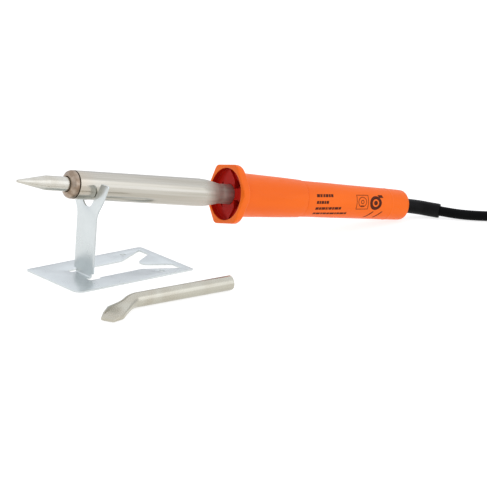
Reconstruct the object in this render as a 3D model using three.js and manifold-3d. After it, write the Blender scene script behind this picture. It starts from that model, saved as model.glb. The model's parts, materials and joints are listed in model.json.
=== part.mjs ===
// Mains soldering iron resting in its folded sheet-metal stand. Millimetres, +Z up, table top at z = 0.
// The origin is on the table, under the middle of the iron, its stand and its spare tip. +X runs from the tip
// towards the lead.
import * as THREE from "three";
import { mergeVertices } from "three/addons/utils/BufferGeometryUtils.js";
import Module from "manifold-3d";

const wasm = await Module();
wasm.setup();

// ---- driving dimensions -------------------------------------------------------------------------------
const GAP = 0.3; // air left between separate pieces
const FOLD_X = -106.7; // the stand's reference point, on its centre line beside the upright
const FOLD_Y = 31.3;

// stand, one folded sheet
const SHEET = 1.0;
const PLATE_LEFT = -25.6; // from the reference point
const PLATE_RIGHT = 67.8;
const PLATE_HALF = 30.3;
const PLATE_CORNERS = [6, 0.8, 3, 2]; // fillets, anticlockwise from the near left one
const BEND_START = -1.2; // where the upright's bend starts in the plate
const BEND_INNER = 0.8;
const BEND_TOP = SHEET + BEND_INNER; // height of the bend's centre
const LEAN = THREE.MathUtils.degToRad(3.5); // the upright leans towards the handle
const STEM_HALF = 10.75;
const NECK_HALF = 8.4;
const FORK_CENTRE = 61.2; // height of the barrel's axis up the upright
const FORK_GAP = 10.0; // from that axis to the prongs' inner edges
const FORK_HALF_ANGLE = THREE.MathUtils.degToRad(31.25);
const FORK_ROUND = 5.8;
const PRONG_TOP = 65.6;
const SCREW_HOLE = { x: 47.6, y: 22.2, radius: 1.75 };

// the iron's axis: s is measured along it from the fork, towards the lead
const AXIS_HEIGHT = 62.05;
const YAW = THREE.MathUtils.degToRad(-2.93);
const SLOPE = THREE.MathUtils.degToRad(11.105);
const HANDLE_ROLL = THREE.MathUtils.degToRad(-12.9);

// hot end
const TIP_APEX = -52.4;
const TIP_SHOULDER = -30.6;
const TIP_RADIUS = 4.9;
const TIP_REAR = 50;
const RING_FRONT = -14.2;
const BARREL_FRONT = -8.6;
const BARREL_RADIUS = 9.5;
const BARREL_WALL = 0.5;
const BARREL_SHOULDER = 95;
const NECK_RADIUS = 6.7;
const NECK_START = 105;
const NECK_REAR = 125;
const HEATER_FRONT = -6;
const HEATER_REAR = 55;
const TIP_SCREW = 16;
const TIP_SCREW_TURN = THREE.MathUtils.degToRad(-100); // on the far side, just above the fork's height

// handle
const FLANGE_FRONT = 114.2;
const FLANGE_BACK = 119.9;
const FLANGE_APOTHEM = 20;
const FLANGE_FILLET = 4;
const CUP_RADIUS = 17.7;
const CUP_FLOOR = 118.6;
const STAR_FRONT = 117.2;
const HUB_BACK = 121.5;
const FLANGE_SCREW_RADIUS = 9.4;
const GUARD_REAR = 176.4;
const GRIP_FRONT = 176.7;
const HANDLE_END = 269;
const GRIP_SCREW = 172;
const GRIP_SCREW_TURN = 0.6; // either way from the handle's +Y side, radians
const TERMINALS = 157;
const TERMINAL_PITCH = 4.2;
const CLAMP = 247;
const CLAMP_SCREW_Y = 5.4;
const SLEEVE_FRONT = 264;
const SLEEVE_OUTER = 5.1;
const CORD = 3.5; // the lead's radius

// lead, route and hank (x, y and z from the stand's reference point)
const LEAD_START = 238; // along the iron's axis, inside the handle
const LEAD_ROUTE = [
  [278.0, -17.2, 7.05], [283.2, -21.2, 5.95], [288.2, -27.2, 5.2], [292.4, -32.0, 4.5], [296.5, -36.4, 3.95],
  [300.5, -40.7, 3.65], [305.0, -45.6, 3.6], [313.0, -53.2, 3.7], [322.0, -59.6, 3.9], [333.0, -64.6, 4.3],
  [345.0, -67.1, 4.8], [353.5, -67.5, 5.1],
];
const SLEEVE_LAST = 3; // the sleeve ends at this point of the route
const HANK = { x: 375, y: -38, run: 90, bundle: 26, low: 1.6, high: 15.6 };
const TAIL_ROUTE = [[376, -64, 19.4], [383, -63.8, 20.1], [390, -63.3, 21.7], [396.4, -62.8, 23.6]];
const PLUG = { x: 397, y: -62.7, z: 23.8, tilt: THREE.MathUtils.degToRad(-12), roll: 0.5 };
const TIE = { x: 418, wide: 8, thick: 1 };

// spare tip, a rod with its bent end beaten to a spade (x and y from the same point)
const SPARE = { rear: [62.2, -78.1], knee: [-13.4, -73.6], bendRadius: 14, drop: 0.105 };
const SPARE_BLADE = 26; // how far the blade turns towards -Y, in degrees
const SPARE_SECTIONS = [ // along the blade, half width, half thickness, sideways shift, squareness
  [5, 4.95, 4.3, 0, 2], [11, 5.5, 3.5, -0.2, 2.4], [17.5, 7.3, 2.5, -1.2, 3.2], [25, 7.3, 2.0, 0.2, 3.6],
  [33.6, 4.8, 1.0, 0.3, 3.6],
];

// ---- helpers ------------------------------------------------------------------------------------------
const COLOURS = {
  nickel: [0xcfccba, 0.25, 1], steel: [0xb9b9b4, 0.2, 1], tinted: [0xa98f7e, 0.35, 1],
  zinc: [0xc3c9cc, 0.35, 0.9], orange: [0xff6a1c, 0.4, 0], mica: [0xb7a888, 0.6, 0], wire: [0x8d8a84, 0.4, 1],
  ceramic: [0xe9e4d6, 0.6, 0], black: [0x111112, 0.5, 0], brown: [0x6a3d22, 0.5, 0], blue: [0x27509c, 0.5, 0],
  green: [0x7d9a2c, 0.5, 0], bakelite: [0x2a2724, 0.5, 0], brass: [0xc09a55, 0.3, 1],
};

function clean(geometry) {
  const bare = geometry.clone();
  bare.deleteAttribute("normal");
  bare.deleteAttribute("uv");
  const merged = mergeVertices(bare, 1e-4);
  const at = merged.attributes.position;
  const kept = [];
  let volume = 0;
  const [a, b, c] = [new THREE.Vector3(), new THREE.Vector3(), new THREE.Vector3()];
  for (let i = 0; i < merged.index.count; i += 3) {
    const [p, q, r] = [merged.index.getX(i), merged.index.getX(i + 1), merged.index.getX(i + 2)];
    if (p === q || q === r || p === r) continue;
    kept.push(p, q, r);
    [a, b, c].forEach((corner, k) => corner.fromBufferAttribute(at, [p, q, r][k]));
    volume += a.dot(b.cross(c));
  }
  if (volume < 0) kept.reverse();
  merged.setIndex(kept);
  return merged;
}

function toSolid(geometry) {
  const closed = clean(geometry);
  return new wasm.Manifold(new wasm.Mesh({
    numProp: 3,
    vertProperties: new Float32Array(closed.attributes.position.array),
    triVerts: new Uint32Array(closed.index.array),
  }));
}

function toGeometry(solid) {
  const mesh = solid.getMesh();
  const geometry = new THREE.BufferGeometry();
  geometry.setAttribute("position", new THREE.Float32BufferAttribute(mesh.vertProperties, 3));
  geometry.setIndex(Array.from(mesh.triVerts));
  return geometry;
}

const cut = (from, ...tools) => toGeometry(tools.reduce((s, t) => s.subtract(toSolid(t)), toSolid(from)));
const join = (first, ...others) => toGeometry(others.reduce((s, p) => s.add(toSolid(p)), toSolid(first)));

function place(parent, name, geometry, colour) {
  const [hex, roughness, metalness] = COLOURS[colour];
  const finished = clean(geometry);
  finished.computeVertexNormals();
  const mesh = new THREE.Mesh(finished, new THREE.MeshStandardMaterial({ color: hex, roughness, metalness }));
  mesh.name = name;
  parent.add(mesh);
}

// turned about the X axis; the profile is [s, radius] pairs and closes on itself or ends on the axis
function turned(profile, sides = 32) {
  const points = profile.map(([s, r]) => new THREE.Vector2(r, s));
  if (profile[0][1] > 0) points.push(points[0].clone());
  return new THREE.LatheGeometry(points, sides).rotateZ(-Math.PI / 2);
}

const tubeOf = (from, to, outer, inner, sides = 32) =>
  turned([[from, inner], [from, outer], [to, outer], [to, inner]], sides);
const rod = (from, to, radius, sides = 16) =>
  turned([[from, 0], [from, radius], [to, radius], [to, 0]], sides);

// a flat outline in the Y-Z plane, drawn as (y, z), made solid from one s to another
function slab(shape, from, to, curveSegments = 8) {
  const solid = new THREE.ExtrudeGeometry(shape, { depth: to - from, bevelEnabled: false, curveSegments });
  return solid.applyMatrix4(new THREE.Matrix4().set(0, 0, 1, from, 1, 0, 0, 0, 0, 1, 0, 0, 0, 0, 0, 1));
}

function box(x, y, z, centre) {
  return new THREE.BoxGeometry(x, y, z).translate(...centre);
}

function circle(radius, sides, x = 0, y = 0) {
  const points = Array.from({ length: sides }, (_, i) => {
    const turn = (2 * Math.PI * i) / sides;
    return new THREE.Vector2(x + radius * Math.cos(turn), y + radius * Math.sin(turn));
  });
  return new THREE.Shape(points);
}

// an outline through the corners, each rounded to its radius
function rounded(corners) {
  const shape = new THREE.Shape();
  corners.forEach(([x, y, radius], i) => {
    const here = new THREE.Vector2(x, y);
    const before = new THREE.Vector2(...corners.at(i - 1).slice(0, 2)).sub(here).normalize();
    const after = new THREE.Vector2(...corners[(i + 1) % corners.length].slice(0, 2)).sub(here).normalize();
    const half = Math.acos(THREE.MathUtils.clamp(before.dot(after), -1, 1)) / 2;
    const back = radius / Math.tan(half);
    const start = here.clone().addScaledVector(before, back);
    const end = here.clone().addScaledVector(after, back);
    if (i === 0) shape.moveTo(start.x, start.y);
    else shape.lineTo(start.x, start.y);
    if (radius > 0) shape.quadraticCurveTo(here.x, here.y, end.x, end.y);
  });
  shape.closePath();
  return shape;
}

function sweep(points, shape, steps) {
  const path = new THREE.CatmullRomCurve3(points, false, "centripetal");
  return new THREE.ExtrudeGeometry(shape, { steps, bevelEnabled: false, extrudePath: path, curveSegments: 1 });
}

// a closed solid through rings of points, all with the same count, with flat ends
function skin(rings) {
  const sides = rings[0].length;
  const index = [];
  for (let i = 0; i + 1 < rings.length; i++) {
    for (let k = 0; k < sides; k++) {
      const [a, b] = [i * sides + k, i * sides + ((k + 1) % sides)];
      index.push(a, b, b + sides, a, b + sides, a + sides);
    }
  }
  const last = (rings.length - 1) * sides;
  for (let k = 1; k + 1 < sides; k++) index.push(0, k + 1, k, last, last + k, last + k + 1);
  const geometry = new THREE.BufferGeometry().setFromPoints(rings.flat());
  geometry.setIndex(index);
  return geometry;
}

function screwAt(parent, name, position, rotation, head, headLength, shank, shankLength) {
  const group = new THREE.Group();
  group.position.set(...position);
  group.rotation.set(...rotation);
  parent.add(group);
  const slot = box(head, 0.25 * head, 2 * head + 1, [headLength, 0, 0]);
  const profile = [
    [-shankLength, 0], [-shankLength, shank], [0, shank], [0, head], [headLength, head], [headLength, 0],
  ];
  place(group, name, cut(turned(profile, 14), slot), "steel");
}

// ---- stand --------------------------------------------------------------------------------------------
function prongOutline(side) {
  const [sin, cos] = [Math.sin(FORK_HALF_ANGLE), Math.cos(FORK_HALF_ANGLE)];
  const along = (height) => {
    const t = (height - (FORK_CENTRE - FORK_GAP * sin)) / cos;
    return side * (FORK_GAP * cos + t * sin);
  };
  return { inner: along, outerTop: side * 22.4, outerKnee: side * 17.2, stem: side * STEM_HALF };
}

function uprightShape() {
  const [left, right] = [prongOutline(-1), prongOutline(1)];
  const corners = [
    [NECK_HALF, BEND_TOP - 0.05, 0], [NECK_HALF, 3.4, 0.8], [right.stem, 3.6, 0.8], [right.stem, 43.4, 2],
    [right.outerKnee, 53.8, 12], [right.outerTop, PRONG_TOP, 0.8], [right.inner(PRONG_TOP), PRONG_TOP, 1],
    [0, FORK_CENTRE - FORK_GAP / Math.sin(FORK_HALF_ANGLE), FORK_ROUND],
    [left.inner(PRONG_TOP), PRONG_TOP, 1], [left.outerTop, PRONG_TOP, 0.8], [left.outerKnee, 53.8, 12],
    [left.stem, 43.4, 2], [left.stem, 3.6, 0.8], [-NECK_HALF, 3.4, 0.8], [-NECK_HALF, BEND_TOP - 0.05, 0],
  ];
  return rounded(corners);
}

function plateShape() {
  const shape = rounded([
    [PLATE_LEFT, -PLATE_HALF, PLATE_CORNERS[0]], [PLATE_RIGHT, -PLATE_HALF, PLATE_CORNERS[1]],
    [PLATE_RIGHT, PLATE_HALF, PLATE_CORNERS[2]], [PLATE_LEFT, PLATE_HALF, PLATE_CORNERS[3]],
  ]);
  shape.holes.push(
    rounded([
      [BEND_START, -NECK_HALF, 0], [-4.4, -NECK_HALF, 2.2], [-4.4, -13.3, 2.2], [3.4, -13.3, 1],
      [5.5, -11.3, 1], [39, -11.3, 3], [62.6, -24.6, 0.8], [62.6, -13.4, 0.8], [41.5, 0, 5.5], [62.6, 13.4, 0.8],
      [62.6, 24.6, 0.8], [39, 11.3, 3], [5.5, 11.3, 1], [3.4, 13.3, 1], [-4.4, 13.3, 2.2],
      [-4.4, NECK_HALF, 2.2], [BEND_START, NECK_HALF, 0],
    ]),
    circle(SCREW_HOLE.radius, 12, SCREW_HOLE.x, SCREW_HOLE.y),
    circle(SCREW_HOLE.radius, 12, SCREW_HOLE.x, -SCREW_HOLE.y),
  );
  return shape;
}

function standSheet() {
  const flat = { depth: SHEET, bevelEnabled: false, curveSegments: 4 };
  const plate = new THREE.ExtrudeGeometry(plateShape(), flat);
  const turn = Math.PI / 2 - LEAN;
  const arc = (radius) => Array.from({ length: 6 }, (_, i) => {
    const a = (turn * i) / 5;
    return new THREE.Vector2(radius * Math.sin(a), BEND_TOP - radius * Math.cos(a));
  });
  const outside = arc(BEND_INNER + SHEET);
  const inside = arc(BEND_INNER).reverse();
  const foot = [new THREE.Vector2(-0.5, SHEET), new THREE.Vector2(-0.5, 0)];
  const bend = new THREE.ExtrudeGeometry(new THREE.Shape([...outside, ...inside, ...foot]), {
    depth: 2 * NECK_HALF, bevelEnabled: false,
  }).rotateX(Math.PI / 2).translate(BEND_START, NECK_HALF, 0);
  // the upright is drawn flat as (y, height), stood up and leaned about the bend's centre
  const upright = new THREE.ExtrudeGeometry(uprightShape(), flat)
    .applyMatrix4(new THREE.Matrix4().set(0, 0, 1, BEND_INNER, 1, 0, 0, 0, 0, 1, 0, -BEND_TOP, 0, 0, 0, 1))
    .rotateY(LEAN)
    .translate(BEND_START, 0, BEND_TOP);
  return join(plate, bend, upright);
}

// ---- spare tip, from its rear end through the knee to the spade's edge ----------------------------------
function spareTip(sides = 16) {
  const level = TIP_RADIUS;
  const rear = new THREE.Vector3(...SPARE.rear, level);
  const knee = new THREE.Vector3(...SPARE.knee, level);
  const rodway = knee.clone().sub(rear).normalize();
  const bend = THREE.MathUtils.degToRad(SPARE_BLADE);
  const bladeway = new THREE.Vector3(-Math.cos(bend), -Math.sin(bend), -SPARE.drop).normalize();
  const back = SPARE.bendRadius * Math.tan(rodway.angleTo(bladeway) / 2);
  const ring = (centre, way, halfWidth, halfThickness, shift, power) => {
    const across = new THREE.Vector3(0, 0, 1).cross(way).normalize();
    const up = way.clone().cross(across);
    return Array.from({ length: sides }, (_, i) => {
      const a = (2 * Math.PI * i) / sides;
      const [c, s] = [Math.cos(a), Math.sin(a)];
      const reach = (Math.abs(c) ** power + Math.abs(s) ** power) ** (-1 / power);
      return centre.clone().addScaledVector(across, halfWidth * reach * c + shift)
        .addScaledVector(up, halfThickness * reach * s);
    });
  };
  const round = (centre, way, radius) => ring(centre, way, radius, radius, 0, 2);
  const chamfer = 0.6;
  const rings = [
    round(rear, rodway, TIP_RADIUS - chamfer),
    round(rear.clone().addScaledVector(rodway, chamfer), rodway, TIP_RADIUS),
  ];
  for (let i = 0; i <= 4; i++) {
    const [t, u] = [i / 4, 1 - i / 4];
    const centre = knee.clone()
      .addScaledVector(rodway, -back * u * u).addScaledVector(bladeway, back * t * t);
    const way = rodway.clone().lerp(bladeway, t).normalize();
    rings.push(ring(centre, way, TIP_RADIUS, Math.min(TIP_RADIUS, centre.z), 0, 2)); // down to the table
  }
  SPARE_SECTIONS.forEach(([along, ...section]) =>
    rings.push(ring(knee.clone().addScaledVector(bladeway, along), bladeway, ...section)));
  return skin(rings);
}

// ---- the iron's pieces, each along the local X axis ----------------------------------------------------
function tip() {
  return turned([
    [TIP_APEX, 0], [TIP_APEX + 0.15, 0.45], [TIP_APEX + 0.7, 0.85], [TIP_SHOULDER - 2, 4.5],
    [TIP_SHOULDER, 4.8], [TIP_SHOULDER + 2, TIP_RADIUS], [TIP_REAR, TIP_RADIUS], [TIP_REAR, 0],
  ], 24);
}

function noseRing() {
  const skirt = BARREL_RADIUS - BARREL_WALL - GAP;
  return turned([
    [RING_FRONT, TIP_RADIUS + 0.35], [RING_FRONT + 0.4, 7.0], [RING_FRONT + 1.7, 8.5], [RING_FRONT + 3.6, 9.3],
    [RING_FRONT + 4.6, 9.5], [BARREL_FRONT - GAP, 9.5], [BARREL_FRONT - GAP, skirt],
    [HEATER_FRONT - 0.8, skirt], [HEATER_FRONT - 0.8, 7.4], [RING_FRONT + 3.4, 7.2],
    [RING_FRONT + 1.6, TIP_RADIUS + 0.35],
  ]);
}

function barrel() {
  const inner = BARREL_RADIUS - BARREL_WALL;
  const neckInner = NECK_RADIUS - BARREL_WALL;
  return turned([
    [BARREL_FRONT, BARREL_RADIUS], [BARREL_SHOULDER, BARREL_RADIUS], [BARREL_SHOULDER + 3, 9.1],
    [BARREL_SHOULDER + 6.5, 7.7], [NECK_START, NECK_RADIUS], [NECK_REAR, NECK_RADIUS], [NECK_REAR, neckInner],
    [NECK_START - 0.3, neckInner], [BARREL_SHOULDER + 5.9, 7.2], [BARREL_SHOULDER + 2.6, 8.65],
    [BARREL_SHOULDER - 0.4, inner], [BARREL_FRONT, inner],
  ]);
}

function heaterCoil() {
  const points = [];
  const turns = 11;
  const perTurn = 12;
  for (let i = 0; i <= turns * perTurn; i++) {
    const a = (2 * Math.PI * i) / perTurn;
    points.push(new THREE.Vector3(2 + (i / perTurn) * 4, 7.28 * Math.cos(a), 7.28 * Math.sin(a)));
  }
  return sweep(points, circle(0.35, 5), turns * perTurn);
}

function insulator(from, to, radius) {
  const holes = [-2.2, 2.2].map((y) => rod(from - 1, to + 1, 1.05, 10).translate(0, y, 0));
  return cut(rod(from, to, radius, 20), ...holes);
}

function handleGuard() {
  const corner = FLANGE_APOTHEM / Math.cos(Math.PI / 6);
  const hexagon = rounded(Array.from({ length: 6 }, (_, i) => {
    const a = (i * Math.PI) / 3;
    return [corner * Math.cos(a), corner * Math.sin(a), FLANGE_FILLET];
  }));
  const cone = turned([
    [HUB_BACK - 2.5, 0], [HUB_BACK - 2.5, 15.6], [HUB_BACK, 15.2], [137, 14.67], [158, 13.87], [170, 13.32],
    [GUARD_REAR, 13.0], [GUARD_REAR, 0],
  ], 36);
  const cavity = turned([[HUB_BACK, 0], [HUB_BACK, 12.9], [GUARD_REAR + 1, 10.8], [GUARD_REAR + 1, 0]], 28);
  const cup = rod(FLANGE_FRONT - 1, CUP_FLOOR, CUP_RADIUS, 36);
  const starPoints = Array.from({ length: 8 }, (_, i) => {
    const radius = i % 2 ? 11 : CUP_RADIUS + 0.3;
    return new THREE.Vector2(radius * Math.cos((i * Math.PI) / 4), radius * Math.sin((i * Math.PI) / 4));
  });
  const star = slab(new THREE.Shape(starPoints), STAR_FRONT, HUB_BACK);
  const windows = [[1, 1], [1, -1], [-1, 1], [-1, -1]].map(([y, z]) =>
    box(8, 3.4, 3.0, [119.5, y * 10.0, z * 5.9]));
  const bore = rod(FLANGE_FRONT - 2, HUB_BACK + 1, NECK_RADIUS + GAP, 32);
  const screwHoles = [1, -1].map((z) =>
    rod(STAR_FRONT + 0.8, HUB_BACK + 1, 1.75, 12).translate(0, 0, FLANGE_SCREW_RADIUS * z));
  const gripHoles = [1, -1].map((x) =>
    rod(9, 16, 1.75, 12).rotateZ(Math.PI / 2).translate(GRIP_SCREW, 0, 0).rotateX(x * GRIP_SCREW_TURN));
  const body = join(slab(hexagon, FLANGE_FRONT, FLANGE_BACK, 4), cone);
  return cut(join(cut(body, cup), star), bore, cavity, ...windows, ...screwHoles, ...gripHoles);
}

function handleGrip() {
  const shell = turned([
    [GRIP_FRONT, 12.6], [178.5, 12.55], [184, 12.36], [199.6, 12.12], [221, 11.62], [251.6, 11.0],
    [252.6, 11.1], [253.6, 10.95], [262.8, 10.7], [265.8, 9.95], [268, 8.2], [HANDLE_END, 6.2],
    [HANDLE_END, 5.8], [264.9, 5.5], [262.5, 7.3], [258, 9.0], [221, 9.9], [190, 10.2], [GRIP_FRONT, 9.2],
    [168, 9.2], [168, 10.5], [GRIP_FRONT, 10.5],
  ], 36);
  const holes = [1, -1].map((x) =>
    rod(8, 12, 1.2, 12).rotateZ(Math.PI / 2).translate(GRIP_SCREW, 0, 0).rotateX(x * GRIP_SCREW_TURN));
  return cut(shell, ...holes);
}

function terminalBlock() {
  const holes = [-1, 0, 1].map((i) =>
    rod(1.2, 6, 1.8, 10).rotateY(-Math.PI / 2).translate(TERMINALS, i * TERMINAL_PITCH, 0));
  return cut(box(15, 13, 8, [TERMINALS + 0.5, 0, 0]), ...holes);
}

function cordClamp() {
  const bore = rod(CLAMP - 7, CLAMP + 7, CORD + GAP, 16);
  const holes = [-1, 1].map((side) =>
    rod(-1.5, 6, 1.2, 10).rotateY(-Math.PI / 2).translate(CLAMP, side * CLAMP_SCREW_Y, 0));
  return cut(box(8, 14, 9.4, [CLAMP, 0, 0]), bore, ...holes);
}

// ---- assembly -----------------------------------------------------------------------------------------
const model = new THREE.Group();
const stand = new THREE.Group();
stand.position.set(FOLD_X, FOLD_Y, 0);
model.add(stand);
place(stand, "stand_sheet", standSheet(), "zinc");
place(stand, "spare_tip", spareTip(), "nickel");

const iron = new THREE.Group();
iron.position.set(FOLD_X, FOLD_Y, AXIS_HEIGHT);
iron.rotation.order = "ZYX";
iron.rotation.set(0, SLOPE, YAW);
model.add(iron);

place(iron, "tip", tip(), "nickel");
place(iron, "nose_ring", noseRing(), "tinted");
const bored = (geometry) =>
  cut(geometry, rod(4, 12, 2, 14).rotateY(-Math.PI / 2).translate(TIP_SCREW, 0, 0).rotateX(TIP_SCREW_TURN));
place(iron, "barrel", bored(barrel()), "steel");
place(iron, "bit_tube", bored(tubeOf(HEATER_FRONT, HEATER_REAR, 5.9, 5.3)), "steel");
place(iron, "inner_mica", bored(tubeOf(HEATER_FRONT, HEATER_REAR, 6.5, 6.2)), "mica");
place(iron, "heater_coil", bored(heaterCoil()), "wire");
place(iron, "outer_mica", bored(tubeOf(HEATER_FRONT, HEATER_REAR, 8.4, 7.95)), "mica");

const screwGroup = new THREE.Group();
screwGroup.rotation.x = TIP_SCREW_TURN;
iron.add(screwGroup);
const tipScrew = cut(
  turned([[TIP_RADIUS + GAP, 0], [TIP_RADIUS + GAP, 1.7], [9.8, 1.7], [9.8, 3.2], [12.2, 3.2], [12.2, 0]], 18),
  box(1.6, 0.9, 8, [12.2, 0, 0]),
).rotateY(-Math.PI / 2).translate(TIP_SCREW, 0, 0);
place(screwGroup, "tip_screw", tipScrew, "steel");

place(iron, "front_insulator", insulator(57, 62, 8.6), "ceramic");
place(iron, "rear_insulator", insulator(106, 124, NECK_RADIUS - BARREL_WALL - GAP), "ceramic");
place(iron, "live_lead", rod(HEATER_REAR + GAP, 149.6, 0.75, 8).translate(0, 2.2, 0), "wire");
place(iron, "neutral_lead", rod(HEATER_REAR + GAP, 149.6, 0.75, 8).translate(0, -2.2, 0), "wire");

const handle = new THREE.Group();
handle.rotation.x = HANDLE_ROLL;
iron.add(handle);
place(handle, "handle_guard", handleGuard(), "orange");
place(handle, "handle_grip", handleGrip(), "orange");
const flangeHoles = [1, -1].map((z) => rod(120, 126, 1.75, 12).translate(0, 0, FLANGE_SCREW_RADIUS * z));
const flangeFront = HUB_BACK + GAP;
const flange = tubeOf(flangeFront, flangeFront + 1.2, 11.6, NECK_RADIUS + GAP);
place(handle, "barrel_flange", cut(flange, ...flangeHoles), "steel");
[1, -1].forEach((z, i) => {
  const at = [flangeFront + 1.2 + GAP, 0, FLANGE_SCREW_RADIUS * z];
  screwAt(handle, `flange_screw_${i + 1}`, at, [0, 0, 0], 2.6, 1.8, 1.4, 4.6);
});
place(handle, "earth_lead", rod(flangeFront + 1.2 + GAP, 149.6, 0.75, 8).translate(0, 8.2, 0), "green");
place(handle, "terminal_block", terminalBlock(), "ceramic");
[-1, 0, 1].forEach((side, i) => {
  const at = [TERMINALS, side * TERMINAL_PITCH, 3.0];
  screwAt(handle, `terminal_screw_${i + 1}`, at, [0, -Math.PI / 2, 0], 1.5, 1.6, 1.0, 1.2);
});
["brown", "blue", "green"].forEach((colour, i) => {
  const a = (2 * Math.PI * i) / 3;
  const core = rod(165.4, LEAD_START - GAP, 1.2, 8).translate(0, 2 * Math.cos(a), 2 * Math.sin(a));
  place(handle, ["live_core", "neutral_core", "earth_core"][i], core, colour);
});
place(handle, "cord_clamp", cordClamp(), "bakelite");
[-1, 1].forEach((side, i) => {
  const at = [CLAMP, side * CLAMP_SCREW_Y, 5.0];
  screwAt(handle, `clamp_screw_${i + 1}`, at, [0, -Math.PI / 2, 0], 1.4, 0.9, 0.9, 5.6);
});
[1, -1].forEach((side, i) => {
  const group = new THREE.Group();
  group.rotation.x = side * GRIP_SCREW_TURN;
  handle.add(group);
  screwAt(group, `grip_screw_${i + 1}`, [GRIP_SCREW, 11.4, 0], [0, 0, Math.PI / 2], 1.45, 1.5, 0.9, 3.2);
});

// the lead leaves along the iron's axis, in the sleeve, and is folded into a hank on the table
model.updateMatrixWorld(true);
const onAxis = (s) => new THREE.Vector3(s, 0, 0).applyMatrix4(iron.matrixWorld);
const atFold = ([x, y, z]) => new THREE.Vector3(x + FOLD_X, y + FOLD_Y, z);
const leadPoints = [...[LEAD_START, 250, 262, HANDLE_END - 1.5].map(onAxis), ...LEAD_ROUTE.map(atFold)];
place(model, "cord_lead", sweep(leadPoints, circle(CORD, 10), 36), "black");
const sleeveShape = circle(SLEEVE_OUTER, 14);
sleeveShape.holes.push(circle(CORD + 0.4, 12));
const sleeveRoute = LEAD_ROUTE.slice(0, SLEEVE_LAST).map(atFold);
const sleevePoints = [...[SLEEVE_FRONT, HANDLE_END - 1.5].map(onAxis), ...sleeveRoute];
place(model, "strain_relief", sweep(sleevePoints, sleeveShape, 9), "black");

function stadium(radius) {
  const shape = new THREE.Shape();
  shape.absarc(HANK.x, HANK.y, radius, Math.PI / 2, 1.5 * Math.PI);
  shape.absarc(HANK.x + HANK.run, HANK.y, radius, -Math.PI / 2, Math.PI / 2);
  shape.closePath();
  return shape;
}
const hank = stadium(HANK.bundle + 2 * CORD);
hank.holes.push(stadium(HANK.bundle - 2 * CORD));
const hankDepth = { depth: HANK.high - HANK.low, bevelEnabled: false, curveSegments: 12 };
place(stand, "cord_hank", new THREE.ExtrudeGeometry(hank, hankDepth).translate(0, 0, HANK.low), "black");
place(model, "cord_tail", sweep(TAIL_ROUTE.map(atFold), circle(CORD, 10), 6), "black");

const band = (grow, radius) => {
  const [near, far] = [HANK.y + HANK.bundle - 2 * CORD - grow, HANK.y + HANK.bundle + 2 * CORD + grow];
  const [low, high] = [HANK.low - grow, HANK.high + grow];
  return rounded([[near, low, radius], [far, low, radius], [far, high, radius], [near, high, radius]]);
};
const tieShape = band(GAP + TIE.thick, 2);
tieShape.holes.push(band(GAP, 1));
place(stand, "cord_tie", slab(tieShape, TIE.x, TIE.x + TIE.wide, 3), "black");

const plug = new THREE.Group();
plug.position.set(PLUG.x + FOLD_X, PLUG.y + FOLD_Y, PLUG.z);
plug.rotation.order = "ZYX";
plug.rotation.set(PLUG.roll, PLUG.tilt, 0);
model.add(plug);
const plugBody = turned([
  [0, 0], [0, 4.8], [19, 6.2], [21, 8.6], [30, 11.6], [41, 12.6], [46, 11.8], [48.5, 17.6], [49.5, 18.4],
  [56.4, 18.4], [57, 17.8], [57, 0],
], 28);
const notches = [1, -1].map((z) => box(12, 6.4, 4.4, [54.5, 0, z * 17.6]));
place(plug, "plug_body", cut(plugBody, ...notches), "black");
[1, -1].forEach((y, i) => {
  const pin = turned([[57.3, 0], [57.3, 2.4], [74.8, 2.4], [76, 1.6], [76.4, 0]], 14).translate(0, 9.5 * y, 0);
  place(plug, `plug_pin_${i + 1}`, pin, "brass");
  place(plug, `plug_earth_clip_${i + 1}`, box(7.6, 5.6, 1.2, [52.8, 0, 16.5 * y]), "brass");
});

export default model;
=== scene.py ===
"""Mains soldering iron in its folded sheet stand, with lead, plug and spare tip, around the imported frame.

Shapes are drawn in millimetres and turned into metres as each mesh is made. "s" is the distance along the
iron's axis from the stand's fork, towards the lead. Stand coordinates start on the stand's centre line.
"""

import json
import math

import bmesh
import bpy
from mathutils import Matrix, Vector


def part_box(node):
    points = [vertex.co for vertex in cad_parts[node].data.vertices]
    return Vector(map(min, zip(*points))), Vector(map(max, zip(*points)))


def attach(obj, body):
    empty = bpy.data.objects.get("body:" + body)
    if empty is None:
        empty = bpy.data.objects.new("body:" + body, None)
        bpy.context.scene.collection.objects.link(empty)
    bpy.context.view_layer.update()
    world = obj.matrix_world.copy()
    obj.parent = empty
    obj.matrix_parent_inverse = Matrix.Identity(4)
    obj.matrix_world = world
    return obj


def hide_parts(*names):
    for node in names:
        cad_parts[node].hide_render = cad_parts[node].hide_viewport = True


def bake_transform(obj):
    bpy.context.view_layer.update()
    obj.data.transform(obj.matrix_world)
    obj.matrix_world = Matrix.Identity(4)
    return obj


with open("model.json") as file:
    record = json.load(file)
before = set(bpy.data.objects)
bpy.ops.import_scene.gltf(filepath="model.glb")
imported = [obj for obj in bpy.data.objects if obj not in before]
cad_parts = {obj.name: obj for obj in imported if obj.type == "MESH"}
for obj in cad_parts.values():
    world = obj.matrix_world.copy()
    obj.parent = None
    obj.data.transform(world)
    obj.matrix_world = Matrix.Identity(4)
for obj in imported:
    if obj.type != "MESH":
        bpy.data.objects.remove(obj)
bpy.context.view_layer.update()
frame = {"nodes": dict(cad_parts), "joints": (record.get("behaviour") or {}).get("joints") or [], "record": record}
scene = bpy.context.scene
MM = 0.001

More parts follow.
